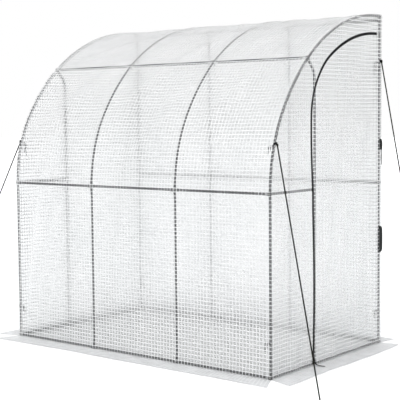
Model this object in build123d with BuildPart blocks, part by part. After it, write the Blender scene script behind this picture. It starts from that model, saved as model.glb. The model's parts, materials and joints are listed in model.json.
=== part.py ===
# Lean-to tunnel greenhouse: bent steel hoops, a clear film cover with ground skirts,
# a zipped end door and guy ropes. Millimetres, +Z up, +X towards the door end, front at -Y.
# The origin is on the ground at the middle of the whole footprint, pegs included.
import os
from collections import namedtuple
from math import acos, asin, atan2, cos, degrees, radians, sin

from build123d import *

# Frame, measured between tube centre lines
frame_length = 2100
frame_depth = 1240
frame_height = 2133
bay_count = 3
mid_rail_height = 1061
hoop_joint_drop = 70
hoop_tail = 40
spring_lean = 18.2
purlin_run = 391
door_post_run = 462
top_rail_drop = 24

# Tube, its joints and the pressed-flat ends of the rails
tube_diameter = 16
tube_wall = 1.0
spigot_length = 40
spigot_clearance = 0.2
cope_clearance = 0.15
cope_depth = 4
door_post_bend_radius = 110
tongue_thickness = 1.6
tongue_width = 22
tongue_overhang = 7.5
tongue_length = 16
press_length = 26
press_fill_share = 0.9
lap_gap = 0.15

# Film cover, its skirts and its ties
film_thickness = 1.0
film_gap = 0.3
tie_gap = 0.6
skirt_width_front = 160
skirt_width_rear = 150
skirt_width_end = 165
skirt_flare = 55
skirt_corner_gap = 3
tie_thickness = 1.2
tie_width = 10
low_tie_height = 210
front_tie_rise = 268
rear_tie_drop = 295

# Zipped door in the right-hand end
zip_width = 16
zip_thickness = 2.0
zip_run = 427
zip_rear_margin = 45
zip_tail = 20
zip_top_drop = 115
zip_curve_rise = 512
zip_lean = -2.0
zip_foot = 12
strap_width = 18
strap_thickness = 2.5
strap_feet = (1245, 605)
strap_lengths = (100, 170)

# Guy ropes, their webbing tabs and their pegs
rope_diameter = 6
front_guy_rise = 298
rear_guy_drop = 266
front_guy_out = 677
left_guy_forward = 100
right_guy_forward = 525
rear_guy_out = 375
tab_width = 24
tab_thickness = 4
tab_length = 34
peg_diameter = 8
peg_height = 44
peg_hook_radius = 12
peg_tail = 14
rope_height_on_peg = 26

# Values that follow from the sizes above
tube_radius = tube_diameter / 2
bore_radius = tube_radius - tube_wall
rope_radius = rope_diameter / 2
peg_radius = peg_diameter / 2
bay_length = frame_length / bay_count
half_length = frame_length / 2
base_rail_height = tongue_width / 2

lap_step = tongue_thickness + lap_gap
face_offset = tube_radius + lap_step + tongue_thickness + film_gap
face_outer = face_offset + film_thickness
face_inner = face_offset - film_gap
end_offset = tube_radius + tie_gap + tie_thickness + film_gap
cover_half_length = half_length + end_offset + film_thickness
zip_top = frame_height - zip_top_drop

front_reach = max(left_guy_forward, right_guy_forward) + peg_radius
rear_reach = face_outer + skirt_width_rear
y_front = front_reach - (front_reach + frame_depth + rear_reach) / 2
y_rear = y_front + frame_depth
y_door_post = y_front + door_post_run
stations = [bay_length * bay - half_length for bay in range(bay_count + 1)]

Bow = namedtuple("Bow", "y_leg foot top slope lower upper lower_centre upper_centre")


def make_bow(y_leg, foot, y_flat, top, lean):
    """An upright leg that turns level through two tangent arcs.

    Where the arcs meet, the bow is steeper than its chord by a lean in degrees.
    """
    run = y_flat - y_leg
    rise = top - foot
    slope = degrees(atan2(rise, run)) + lean
    s = sin(radians(slope))
    c = cos(radians(slope))
    lower = (rise * s - run * (1 - c)) / (s + c - 1)
    upper = (run * c - rise * (1 - s)) / (s + c - 1)
    lower_centre = (y_leg + lower, foot)
    upper_centre = (y_flat, top - upper)
    return Bow(y_leg, foot, top, slope, lower, upper, lower_centre, upper_centre)


def draw_bow(bow, out, bottom, y_end):
    """Draw a bow, set out from its centre line, from its bottom to the end of its level tail."""
    bend = 90 - bow.slope
    Line((bow.y_leg - out, bottom), (bow.y_leg - out, bow.foot))
    CenterArc(bow.lower_centre, bow.lower + out, 180, -bend)
    CenterArc(bow.upper_centre, bow.upper + out, 180 - bend, -bow.slope)
    Line((bow.upper_centre[0], bow.top + out), (y_end, bow.top + out))


def bow_seat(bow, rise):
    """Y of a bow's centre line, at a height above its foot, and how far it has turned there."""
    if rise < bow.lower * cos(radians(bow.slope)):
        centre, radius = bow.lower_centre, bow.lower
    else:
        centre, radius = bow.upper_centre, bow.upper
    turn = asin((bow.foot + rise - centre[1]) / radius)
    return centre[0] - radius * cos(turn), turn


def finish(part, name):
    """Label a finished piece and write it."""
    part.label = name
    export_step(part, f"parts/{name}.step")


os.makedirs("parts", exist_ok=True)

hoop_bow = make_bow(y_front, mid_rail_height, y_rear - hoop_tail, frame_height, spring_lean)
zip_bow = make_bow(
    y_front + zip_run,
    zip_top - zip_curve_rise,
    y_rear - zip_rear_margin - zip_tail,
    zip_top,
    zip_lean,
)

# Where the purlin crosses the hoops: its angle round the upper arc and its place
purlin_turn = acos((y_front + purlin_run - hoop_bow.upper_centre[0]) / hoop_bow.upper)
purlin_out = (cos(purlin_turn), sin(purlin_turn))
y_purlin = y_front + purlin_run
z_purlin = hoop_bow.upper_centre[1] + hoop_bow.upper * purlin_out[1]

# Front legs, with a swaged spigot that plugs into the hoop above
hoop_foot = mid_rail_height - hoop_joint_drop
for number, x in enumerate(stations, start=1):
    with BuildPart() as front_leg:
        with BuildSketch(Plane((x, y_front, 0))):
            Circle(tube_radius)
            Circle(bore_radius, mode=Mode.SUBTRACT)
        extrude(amount=hoop_foot)
        with BuildSketch(Plane((x, y_front, hoop_foot - spigot_length))):
            Circle(bore_radius)
            Circle(bore_radius - spigot_clearance - tube_wall, mode=Mode.SUBTRACT)
        extrude(amount=spigot_length)
        with BuildSketch(Plane((x, y_front, hoop_foot))):
            Circle(bore_radius - spigot_clearance)
            Circle(bore_radius - spigot_clearance - tube_wall, mode=Mode.SUBTRACT)
        extrude(amount=spigot_length)
    finish(front_leg.part, f"front_leg_{number}")

# Hoops: one bent tube each, from the leg joint to the rear post
for number, x in enumerate(stations, start=1):
    with BuildPart() as hoop:
        with BuildLine(Plane.YZ.offset(x)):
            draw_bow(hoop_bow, 0, hoop_foot, y_rear + tube_radius)
        with BuildSketch(Plane((x, y_front, hoop_foot))):
            Circle(tube_radius)
            Circle(bore_radius, mode=Mode.SUBTRACT)
        sweep()
    finish(hoop.part, f"hoop_{number}")

# Rear posts, coped at the top to seat under the hoop's tail
for number, x in enumerate(stations, start=1):
    with BuildPart() as rear_post:
        with BuildSketch(Plane((x, y_rear, 0))):
            Circle(tube_radius)
            Circle(bore_radius, mode=Mode.SUBTRACT)
        extrude(amount=frame_height - tube_radius + cope_depth)
        with BuildSketch(Plane((x, y_rear, frame_height), z_dir=(0, 1, 0))):
            Circle(tube_radius + cope_clearance)
        extrude(amount=tube_diameter, both=True, mode=Mode.SUBTRACT)
    finish(rear_post.part, f"rear_post_{number}")

# Door posts, bent forward at the top and coped to seat square under the hoop
for side, name in ((-1, "left_door_post"), (1, "right_door_post")):
    x = side * half_length
    hoop_reach = tube_radius - cope_depth
    corner_drop = (y_purlin - y_door_post) / purlin_out[0]
    with BuildPart() as door_post:
        with BuildLine(Plane.YZ.offset(x)):
            FilletPolyline(
                (y_door_post, 0),
                (y_door_post, z_purlin - corner_drop * purlin_out[1]),
                (y_purlin - hoop_reach * purlin_out[0], z_purlin - hoop_reach * purlin_out[1]),
                radius=door_post_bend_radius,
            )
        with BuildSketch(Plane((x, y_door_post, 0))):
            Circle(tube_radius)
            Circle(bore_radius, mode=Mode.SUBTRACT)
        sweep()
        hoop_run = Plane((x, y_purlin, z_purlin), z_dir=(0, purlin_out[1], -purlin_out[0]))
        with BuildSketch(hoop_run):
            Circle(tube_radius + cope_clearance)
        extrude(amount=tube_diameter, both=True, mode=Mode.SUBTRACT)
    finish(door_post.part, name)


def flat_ended_tube(start, length, lapped):
    """A tube between two posts, both ends pressed flat to lie on the posts' outer sides.

    The start plane sits on the first post's centre line, with X along the tube and Z towards
    the side that carries it. A lapped first end lies on top of its neighbour's tongue.
    """
    tube_out = lap_step + tongue_thickness
    shank_start = tongue_length + press_length

    def section(along, out):
        origin = start.from_local_coords((along, 0, out))
        return Plane(origin, x_dir=start.y_dir, z_dir=start.x_dir)

    with BuildPart() as tube:
        with BuildSketch(section(shank_start, tube_out)):
            Circle(tube_radius)
        extrude(amount=length - 2 * shank_start)
        for post, inward, layer in ((0, 1, int(lapped)), (length, -1, 0)):
            out = tube_radius + layer * lap_step
            with BuildSketch(section(post + inward * shank_start, tube_out)):
                Circle(tube_radius)
            with BuildSketch(section(post + inward * tongue_length, out + tongue_thickness / 2)):
                Ellipse(
                    press_fill_share * tongue_width / 2,
                    press_fill_share * tongue_thickness / 2,
                )
            loft()
            tongue_end = tongue_length + tongue_width / 2
            tongue_middle = post + inward * (tongue_end - tongue_overhang) / 2
            seat = start.from_local_coords((tongue_middle, 0, out))
            with BuildSketch(Plane(seat, x_dir=start.x_dir, z_dir=start.z_dir)):
                SlotOverall(tongue_end + tongue_overhang, tongue_width)
            extrude(amount=tongue_thickness)
    return tube.part


def long_rail(name, y, z, out):
    """One rail along the length, a tube to each bay."""
    with BuildPart() as rail:
        for bay, x in enumerate(stations[:-1]):
            start = Plane((x, y, z), x_dir=(1, 0, 0), z_dir=out)
            add(flat_ended_tube(start, bay_length, bay > 0))
    finish(rail.part, name)


long_rail("front_base_rail", y_front, base_rail_height, (0, -1, 0))
long_rail("front_mid_rail", y_front, mid_rail_height, (0, -1, 0))
long_rail("roof_purlin", y_purlin, z_purlin, (0, *purlin_out))
long_rail("rear_base_rail", y_rear, base_rail_height, (0, 1, 0))
long_rail("rear_mid_rail", y_rear, mid_rail_height, (0, 1, 0))
long_rail("rear_top_rail", y_rear, frame_height - top_rail_drop, (0, 1, 0))

# End rails lie on the inner sides of the end posts
for side, name in ((-1, "left"), (1, "right")):
    x = side * half_length
    with BuildPart() as base_rail:
        start = Plane((x, y_front, base_rail_height), x_dir=(0, 1, 0), z_dir=(-side, 0, 0))
        add(flat_ended_tube(start, door_post_run, False))
        start = Plane((x, y_door_post, base_rail_height), x_dir=(0, 1, 0), z_dir=(-side, 0, 0))
        add(flat_ended_tube(start, frame_depth - door_post_run, True))
    finish(base_rail.part, f"{name}_base_rail")
    with BuildPart() as mid_rail:
        start = Plane((x, y_front, mid_rail_height), x_dir=(0, 1, 0), z_dir=(-side, 0, 0))
        add(flat_ended_tube(start, door_post_run, False))
    finish(mid_rail.part, f"{name}_mid_rail")

# Front wall and roof: one sheet over the hoops
with BuildPart() as front_roof_cover:
    with BuildSketch(Plane.YZ.offset(-cover_half_length)):
        with BuildLine():
            draw_bow(hoop_bow, face_outer, 0, y_rear + face_outer)
            Line(
                (y_rear + face_outer, frame_height + face_outer),
                (y_rear + face_outer, frame_height + face_offset),
            )
            draw_bow(hoop_bow, face_offset, 0, y_rear + face_outer)
            Line((y_front - face_outer, 0), (y_front - face_offset, 0))
        make_face()
    extrude(amount=2 * cover_half_length)
finish(front_roof_cover.part, "front_roof_cover")

with BuildPart() as rear_cover:
    with BuildSketch(Plane((0, y_rear + face_offset, 0), x_dir=(-1, 0, 0), z_dir=(0, 1, 0))):
        Rectangle(
            2 * cover_half_length,
            frame_height + face_offset,
            align=(Align.CENTER, Align.MIN),
        )
    extrude(amount=film_thickness)
finish(rear_cover.part, "rear_cover")


def draw_end_outline():
    """Outline of an end sheet, inside the roof sheet and the rear sheet."""
    with BuildLine() as outline:
        draw_bow(hoop_bow, face_inner, 0, y_rear + face_inner)
        Polyline(
            (y_rear + face_inner, frame_height + face_inner),
            (y_rear + face_inner, 0),
            (y_front - face_inner, 0),
        )
    make_face(outline.edges())


def draw_door(out, mode):
    """Area that the zip encloses, with the zip's own width or more set out round it."""
    with BuildLine() as outline:
        draw_bow(zip_bow, out, 0, y_rear + face_inner)
        Polyline(
            (y_rear + face_inner, zip_top + out),
            (y_rear + face_inner, 0),
            (zip_bow.y_leg - out, 0),
        )
    make_face(outline.edges(), mode=mode)


def draw_zip(grow, mode):
    """The zip's band, grown all round by a clearance."""
    half_width = zip_width / 2 + grow
    bottom = zip_foot - grow
    y_end = y_rear - zip_rear_margin + grow
    with BuildLine() as outline:
        draw_bow(zip_bow, half_width, bottom, y_end)
        Line((y_end, zip_top + half_width), (y_end, zip_top - half_width))
        draw_bow(zip_bow, -half_width, bottom, y_end)
        Line((zip_bow.y_leg + half_width, bottom), (zip_bow.y_leg - half_width, bottom))
    make_face(outline.edges(), mode=mode)


# End sheets: the left one whole, the right one round the door
with BuildPart() as left_end_cover:
    with BuildSketch(Plane.YZ.offset(-half_length - end_offset - film_thickness)):
        draw_end_outline()
    extrude(amount=film_thickness)
finish(left_end_cover.part, "left_end_cover")

with BuildPart() as right_end_cover:
    with BuildSketch(Plane.YZ.offset(half_length + end_offset)):
        draw_end_outline()
        draw_door(zip_width / 2 + film_gap, Mode.SUBTRACT)
    extrude(amount=film_thickness)
finish(right_end_cover.part, "right_end_cover")

with BuildPart() as door_flap:
    with BuildSketch(Plane.YZ.offset(half_length + end_offset)):
        draw_door(zip_width / 2, Mode.ADD)
        draw_zip(film_gap, Mode.SUBTRACT)
    extrude(amount=film_thickness)
finish(door_flap.part, "door_flap")

with BuildPart() as door_zip:
    with BuildSketch(Plane.YZ.offset(half_length + end_offset)):
        draw_zip(0, Mode.ADD)
    extrude(amount=zip_thickness)
finish(door_zip.part, "door_zip")

# Webbing straps at the rear edge of the door, which hold it rolled up
with BuildPart() as door_straps:
    with BuildSketch(Plane.YZ.offset(cover_half_length + film_gap)):
        for foot, length in zip(strap_feet, strap_lengths):
            with Locations((y_rear + face_inner - strap_width / 2, foot)):
                Rectangle(strap_width, length, align=(Align.CENTER, Align.MIN))
    extrude(amount=strap_thickness)
finish(door_straps.part, "door_straps")


def skirt(name, ground, length, width):
    """A flap of film on the ground, flared towards its outer edge."""
    half = length / 2 - skirt_corner_gap
    with BuildPart() as flap:
        with BuildSketch(ground):
            with BuildLine():
                Polyline(
                    (-half, 0),
                    (half, 0),
                    (half + skirt_flare, width),
                    (-half - skirt_flare, width),
                    close=True,
                )
            make_face()
        extrude(amount=film_thickness)
    finish(flap.part, name)


y_middle = (y_front + y_rear) / 2
cover_length = 2 * cover_half_length
cover_depth = frame_depth + 2 * face_outer
front_ground = Plane((0, y_front - face_outer, 0), x_dir=(-1, 0, 0))
rear_ground = Plane((0, y_rear + face_outer, 0), x_dir=(1, 0, 0))
left_ground = Plane((-cover_half_length, y_middle, 0), x_dir=(0, 1, 0))
right_ground = Plane((cover_half_length, y_middle, 0), x_dir=(0, -1, 0))
skirt("front_skirt", front_ground, cover_length, skirt_width_front)
skirt("rear_skirt", rear_ground, cover_length, skirt_width_rear)
skirt("left_skirt", left_ground, cover_depth, skirt_width_end)
skirt("right_skirt", right_ground, cover_depth, skirt_width_end)

# Bands that tie the cover to the corner tubes
y_front_tie, tie_turn = bow_seat(hoop_bow, front_tie_rise)
z_front_tie = mid_rail_height + front_tie_rise
with BuildPart() as cover_ties:
    for x in (-half_length, half_length):
        seats = (
            Plane((x, y_front, low_tie_height)),
            Plane((x, y_front_tie, z_front_tie), z_dir=(0, sin(tie_turn), cos(tie_turn))),
            Plane((x, y_rear, low_tie_height)),
            Plane((x, y_rear, frame_height - rear_tie_drop)),
        )
        for seat in seats:
            with BuildSketch(seat):
                Circle(tube_radius + tie_gap + tie_thickness)
                Circle(tube_radius + tie_gap, mode=Mode.SUBTRACT)
            extrude(amount=tie_width / 2, both=True)
finish(cover_ties.part, "cover_ties")

# Guy ropes: a webbing tab on the end sheet, a taut rope and a hooked peg at each corner
y_front_guy, _ = bow_seat(hoop_bow, front_guy_rise)
guys = {}
for side, name, forward in ((-1, "left", left_guy_forward), (1, "right", right_guy_forward)):
    x = side * cover_half_length
    guys[f"front_{name}"] = (
        side,
        Vector(x, y_front_guy, mid_rail_height + front_guy_rise),
        Vector(side * (half_length + front_guy_out), y_front - forward, 0),
    )
    guys[f"rear_{name}"] = (
        side,
        Vector(x, y_rear, frame_height - rear_guy_drop),
        Vector(side * (half_length + rear_guy_out), y_rear, 0),
    )


def rope_run(anchor, peg):
    """Direction and length of a rope, from its anchor to the near side of its peg."""
    away = Vector(peg.X - anchor.X, peg.Y - anchor.Y, 0).normalized()
    foot = peg - away * (peg_radius + rope_radius + film_gap) + Vector(0, 0, rope_height_on_peg)
    return (foot - anchor).normalized(), (foot - anchor).length


def webbing_tab(side, anchor, peg):
    """A tongue of webbing that leaves the end sheet in line with its rope."""
    pull, _ = rope_run(anchor, peg)
    across = pull.cross(Vector(0, 0, 1)).normalized()
    wall = Plane((side * (cover_half_length + film_gap), 0, 0), z_dir=(side, 0, 0))
    with BuildPart() as tab:
        with BuildSketch(Plane(anchor, x_dir=across, z_dir=pull)):
            Rectangle(tab_width, tab_thickness)
        extrude(amount=tab_length)
        split(bisect_by=wall, keep=Keep.TOP)
    return tab.part


with BuildPart() as guy_tabs:
    for side, anchor, peg in guys.values():
        add(webbing_tab(side, anchor, peg))
finish(guy_tabs.part, "guy_tabs")

for name, (side, anchor, peg) in guys.items():
    pull, length = rope_run(anchor, peg)
    with BuildPart() as guy_rope:
        with BuildSketch(Plane(anchor + pull * tab_length, z_dir=pull)):
            Circle(rope_radius)
        extrude(amount=length - tab_length)
    finish(guy_rope.part, f"{name}_guy_rope")
    with BuildPart() as guy_peg:
        with BuildLine(Plane(peg, x_dir=(side, 0, 0), z_dir=(0, -side, 0))):
            Line((0, 0), (0, peg_height))
            CenterArc((peg_hook_radius, peg_height), peg_hook_radius, 180, -180)
            Line((2 * peg_hook_radius, peg_height), (2 * peg_hook_radius, peg_height - peg_tail))
        with BuildSketch(Plane(peg)):
            Circle(peg_radius)
        sweep()
    finish(guy_peg.part, f"{name}_guy_peg")
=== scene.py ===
# %% [markdown]
# # A lean-to tunnel greenhouse
# The real one is a kit. Bent galvanised tubes plug together into four hoops, short tubes with pressed-flat
# ends bolt them apart, and a sewn cover of clear film with a white thread grid is pulled over and tied on.
# The tubes come in as a fixed frame. This lesson gives them their zinc, and makes the film, the zip, the
# straps, the ties, the ropes and the bolts round them, in metres.

# %% Load the frame
import json
from collections import namedtuple
from math import atan2, ceil, copysign, cos, hypot, pi, radians, sin

import bmesh
import bpy
from mathutils import Matrix, Vector, noise


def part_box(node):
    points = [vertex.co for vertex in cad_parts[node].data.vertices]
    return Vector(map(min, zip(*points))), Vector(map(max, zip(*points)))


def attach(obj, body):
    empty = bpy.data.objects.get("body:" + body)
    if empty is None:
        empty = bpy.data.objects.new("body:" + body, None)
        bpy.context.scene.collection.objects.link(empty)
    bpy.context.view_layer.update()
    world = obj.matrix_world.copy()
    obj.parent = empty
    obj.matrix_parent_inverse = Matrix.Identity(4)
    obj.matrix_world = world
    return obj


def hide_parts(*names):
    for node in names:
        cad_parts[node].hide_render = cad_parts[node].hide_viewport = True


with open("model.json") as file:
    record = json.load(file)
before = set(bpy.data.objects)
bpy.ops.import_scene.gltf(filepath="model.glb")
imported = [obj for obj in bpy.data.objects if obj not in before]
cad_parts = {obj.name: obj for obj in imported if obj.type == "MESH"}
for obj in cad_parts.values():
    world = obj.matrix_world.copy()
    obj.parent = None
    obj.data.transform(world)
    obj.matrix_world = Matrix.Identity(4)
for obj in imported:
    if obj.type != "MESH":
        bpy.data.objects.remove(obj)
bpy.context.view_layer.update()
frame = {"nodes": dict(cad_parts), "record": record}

# %% [markdown]
# ## Measure the frame
# Every new piece is placed from the tubes, so their centre lines are read once from the boxes of the
# nodes. The outline of the hoop is an upright leg and two tangent arcs, worked out again here from a few
# numbers.

# %% Centre lines of the tubes
hoop_numbers = (1, 2, 3, 4)
mm = 0.001


def middle(node):
    """Middle of a node's box."""
    low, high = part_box(node)
    return (low + high) / 2


tube_radius = (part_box("front_leg_1")[1].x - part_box("front_leg_1")[0].x) / 2
stations = [middle(f"front_leg_{number}").x for number in hoop_numbers]
bay_length = stations[1] - stations[0]
y_front = middle("front_leg_1").y
y_rear = middle("rear_post_1").y
y_door_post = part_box("right_door_post")[1].y - tube_radius
z_base = middle("front_base_rail").z
z_mid = middle("front_mid_rail").z
z_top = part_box("hoop_1")[1].z - tube_radius
z_top_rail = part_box("rear_top_rail")[1].z - tube_radius
film_half = 0.5 * mm
film_out = y_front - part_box("front_roof_cover")[0].y - film_half
cover_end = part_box("right_end_cover")[1].x
end_film_x = cover_end - film_half
print("hoops at", [round(x, 3) for x in stations], "film stands", round(film_out / mm, 2), "mm out")

# %% The hoop's line and the zip's line
Bow = namedtuple("Bow", "y_leg foot top bend lower upper lower_centre upper_centre")
hoop_tail = 40 * mm
hoop_lean = 18.2
zip_lean = -2.0
zip_curve_rise = 512 * mm
zip_tail = 20 * mm
zip_half = 8 * mm


def make_bow(y_leg, foot, y_flat, top, lean):
    """An upright leg that turns level through two tangent arcs, steeper than its chord where they meet."""
    run = y_flat - y_leg
    rise = top - foot
    slope = atan2(rise, run) + radians(lean)
    s = sin(slope)
    c = cos(slope)
    lower = (rise * s - run * (1 - c)) / (s + c - 1)
    upper = (run * c - rise * (1 - s)) / (s + c - 1)
    return Bow(y_leg, foot, top, pi / 2 - slope, lower, upper, (y_leg + lower, foot), (y_flat, top - upper))


zip_low, zip_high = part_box("door_zip")
zip_top = zip_high.z - zip_half
hoop_bow = make_bow(y_front, z_mid, y_rear - hoop_tail, z_top, hoop_lean)
zip_bow = make_bow(zip_low.y + zip_half, zip_top - zip_curve_rise, zip_high.y - zip_tail, zip_top, zip_lean)


def bow_at(bow, run, out=0.0):
    """Y, Z and turn of a bow's line, a run up from the ground."""
    lower = bow.lower + out
    upper = bow.upper + out
    if run < bow.foot:
        return bow.y_leg - out, run, 0.0
    run -= bow.foot
    if run < lower * bow.bend:
        turn = run / lower
        return bow.lower_centre[0] - lower * cos(turn), bow.lower_centre[1] + lower * sin(turn), turn
    run -= lower * bow.bend
    if run < upper * (pi / 2 - bow.bend):
        turn = bow.bend + run / upper
        return bow.upper_centre[0] - upper * cos(turn), bow.upper_centre[1] + upper * sin(turn), turn
    return bow.upper_centre[0] + run - upper * (pi / 2 - bow.bend), bow.top + out, pi / 2


def bow_run(bow, y, z, out=0.0):
    """How far up from the ground a point on a bow's line lies."""
    turn = atan2(z - bow.foot, bow.lower_centre[0] - y)
    if z < bow.foot:
        return z
    if turn < bow.bend and y < bow.lower_centre[0]:
        return bow.foot + (bow.lower + out) * turn
    arc = bow.foot + (bow.lower + out) * bow.bend
    turn = min(atan2(z - bow.upper_centre[1], bow.upper_centre[0] - y), pi / 2)
    return arc + (bow.upper + out) * (turn - bow.bend) + max(0.0, y - bow.upper_centre[0])


def bow_gap(bow, y, z):
    """Distance of a point in an end wall from a bow's line."""
    if z < bow.foot:
        return abs(y - bow.y_leg)
    if y > bow.upper_centre[0]:
        return abs(z - bow.top)
    low = atan2(z - bow.foot, bow.lower_centre[0] - y) < bow.bend
    centre, radius = (bow.lower_centre, bow.lower) if low else (bow.upper_centre, bow.upper)
    return abs(hypot(y - centre[0], z - centre[1]) - radius)


purlin = middle("roof_purlin")
purlin_turn = atan2(purlin.z - hoop_bow.upper_centre[1], hoop_bow.upper_centre[0] - purlin.y)
purlin_run = bow_run(hoop_bow, purlin.y, purlin.z, film_out)
roof_run = bow_run(hoop_bow, y_rear + film_out, z_top + film_out, film_out)
print("roof film runs", round(roof_run, 3), "m, purlin at", round(purlin_run, 3), "m")

# %% [markdown]
# ## Camera and light
# The photograph was taken from the front right corner, at about shoulder height, with a long lens. Its
# place and lens were found by matching tube joints. The studio is a white floor under one broad soft sun
# and an even white sky, so the floor, and all that shows through the film, stays white.

# %% Camera
camera_place = Vector((4.4769, y_front - 4.9124, 1.4983))
camera_azimuth = 38.675
camera_elevation = 4.463
camera_roll = -0.55
camera_lens = 95.91
sensor_width = 36
far_limit = 200

a = radians(camera_azimuth)
e = radians(camera_elevation)
back = Vector((sin(a) * cos(e), -cos(a) * cos(e), sin(e)))
camera = bpy.data.objects.new("camera", bpy.data.cameras.new("camera"))
camera.data.lens = camera_lens
camera.data.sensor_width = sensor_width
camera.data.clip_end = far_limit
camera.location = camera_place
camera.rotation_mode = "QUATERNION"
turn_to_view = (-back).to_track_quat("-Z", "Y")
camera.rotation_quaternion = turn_to_view @ Matrix.Rotation(radians(camera_roll), 4, "Z").to_quaternion()
bpy.context.scene.collection.objects.link(camera)
bpy.context.scene.camera = camera
bpy.context.scene.view_settings.view_transform = "Standard"
print("camera at", [round(v, 3) for v in camera_place])


# %% Node helpers
def put(tree, value, socket):
    """Set a socket to a value, or link an output to it."""
    if isinstance(value, bpy.types.NodeSocket):
        tree.links.new(value, socket)
    else:
        socket.default_value = value


def feed(tree, node, **inputs):
    """A node with its inputs set or linked by name, where _ stands for a space."""
    for name, value in inputs.items():
        put(tree, value, node.inputs[name.replace("_", " ")])
    return node


def add_node(tree, kind, **inputs):
    """A new node of a kind, with its inputs fed."""
    return feed(tree, tree.nodes.new(kind), **inputs)


def do_math(tree, operation, *values, clamp=False):
    """One math node's result."""
    node = tree.nodes.new("ShaderNodeMath")
    node.operation = operation
    node.use_clamp = clamp
    for socket, value in zip(node.inputs, values):
        put(tree, value, socket)
    return node.outputs[0]


def spread(tree, value, low, high, to_low, to_high):
    """A value moved from one range to another, held at its ends."""
    ends = {"From_Min": low, "From_Max": high, "To_Min": to_low, "To_Max": to_high}
    return add_node(tree, "ShaderNodeMapRange", Value=value, **ends).outputs["Result"]


def mix_colour(tree, factor, first, second):
    """Two colours mixed by a factor."""
    node = tree.nodes.new("ShaderNodeMix")
    node.data_type = "RGBA"
    feed(tree, node, Factor=factor)
    for socket, colour in zip([s for s in node.inputs if s.type == "RGBA"], (first, second)):
        socket.default_value = (*colour, 1)
    return [s for s in node.outputs if s.type == "RGBA"][0]


def new_material(name):
    """A material with its tree and its Principled shader."""
    material = bpy.data.materials.new(name)
    material.use_nodes = True
    return material, material.node_tree, material.node_tree.nodes["Principled BSDF"]


def seen_directly(tree):
    """One for camera, glossy and transmission rays, and nought once a ray has met a matt surface."""
    path = tree.nodes.new("ShaderNodeLightPath").outputs
    seen = do_math(tree, "MAXIMUM", path["Is Camera Ray"], path["Is Glossy Ray"])
    seen = do_math(tree, "MAXIMUM", seen, path["Is Transmission Ray"])
    return do_math(tree, "MULTIPLY", seen, do_math(tree, "LESS_THAN", path["Diffuse Depth"], 0.5))


# %% Sky, sun and floor
sky_light = 1.0
sky_colour = (0.97, 0.985, 1.0)
sky_seen = (1.0, 1.0, 1.0)
sun_strength = 1.15
sun_spread = 50
sun_from = (0.2, -0.75, 1.25)
floor_half = 60
floor_drop = 0.4 * mm
floor_colour = (0.86, 0.86, 0.86)
floor_rough = 0.9
floor_lift = 0.14
floor_burn = 0.25

world = bpy.data.worlds.new("studio")
world.use_nodes = True
bpy.context.scene.world = world
tree = world.node_tree
sky = mix_colour(tree, seen_directly(tree), sky_colour, sky_seen)
feed(tree, tree.nodes["Background"], Color=sky, Strength=sky_light)

sun = bpy.data.objects.new("sun", bpy.data.lights.new("sun", "SUN"))
sun.data.energy = sun_strength
sun.data.angle = radians(sun_spread)
sun.rotation_mode = "QUATERNION"
sun.rotation_quaternion = (-Vector(sun_from)).to_track_quat("-Z", "Y")
bpy.context.scene.collection.objects.link(sun)

bm = bmesh.new()
bmesh.ops.create_grid(bm, x_segments=1, y_segments=1, size=floor_half)
floor = bpy.data.objects.new("floor", bpy.data.meshes.new("floor"))
bm.to_mesh(floor.data)
bm.free()
bpy.context.scene.collection.objects.link(floor)
floor.location.z = -floor_drop
floor_white, tree, paint = new_material("floor_white")
feed(tree, paint, Base_Color=(*floor_colour, 1), Roughness=floor_rough, Specular_IOR_Level=0.0)
bare = tree.nodes.new("ShaderNodeLightPath").outputs["Is Camera Ray"]
lift = spread(tree, bare, 0, 1, floor_lift, floor_lift + floor_burn)
glow = add_node(tree, "ShaderNodeEmission", Strength=do_math(tree, "MULTIPLY", seen_directly(tree), lift))
both = tree.nodes.new("ShaderNodeAddShader")
put(tree, paint.outputs[0], both.inputs[0])
put(tree, glow.outputs[0], both.inputs[1])
put(tree, both.outputs[0], tree.nodes["Material Output"].inputs["Surface"])
floor.data.materials.append(floor_white)
print("sun", sun_strength, "sky", sky_light, "floor", floor_colour[0])

# %% [markdown]
# ## Zinc on the tubes
# Hot-dipped tube is a dull mid grey with a faint frost of zinc crystals. A noise alone looks like dirt,
# and one flat grey looks like plastic, so the crystals are Voronoi cells, each a little lighter or darker
# and a little rougher than its neighbour. They are a node group, because pegs and bolts are zinc too.


# %% Zinc crystal group
def cloud(tree, place, scale, detail):
    """Noise over a surface."""
    return add_node(tree, "ShaderNodeTexNoise", Vector=place, Scale=scale, Detail=detail).outputs[0]


zinc_crystals = bpy.data.node_groups.new("zinc_crystals", "ShaderNodeTree")
for label, side, kind in (
    ("Place", "INPUT", "Vector"),
    ("Crystals per metre", "INPUT", "Float"),
    ("Crystal", "OUTPUT", "Float"),
    ("Streak", "OUTPUT", "Float"),
    ("Height", "OUTPUT", "Float"),
):
    zinc_crystals.interface.new_socket(label, in_out=side, socket_type=f"NodeSocket{kind}")
place, crystals_per_metre = zinc_crystals.nodes.new("NodeGroupInput").outputs[:2]
made = zinc_crystals.nodes.new("NodeGroupOutput")
cells = add_node(zinc_crystals, "ShaderNodeTexVoronoi", Vector=place, Scale=crystals_per_metre)
grey = add_node(zinc_crystals, "ShaderNodeSeparateColor", Color=cells.outputs["Color"]).outputs[0]
streaks = cloud(zinc_crystals, place, 9, 5)
feed(zinc_crystals, made, Crystal=grey, Streak=streaks, Height=cloud(zinc_crystals, place, 900, 2))

# %% Zinc for tubes, pegs and bolts
crystal_share = 0.6
streak_share = 0.5
dark_shift = -0.05


def object_place(tree):
    """Object coordinates."""
    return tree.nodes.new("ShaderNodeTexCoord").outputs["Object"]


def bump(tree, shader, height, strength, distance):
    """Tilt a shader's normal by a height."""
    node = add_node(tree, "ShaderNodeBump", Height=height, Strength=strength, Distance=distance)
    feed(tree, shader, Normal=node.outputs[0])


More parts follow.
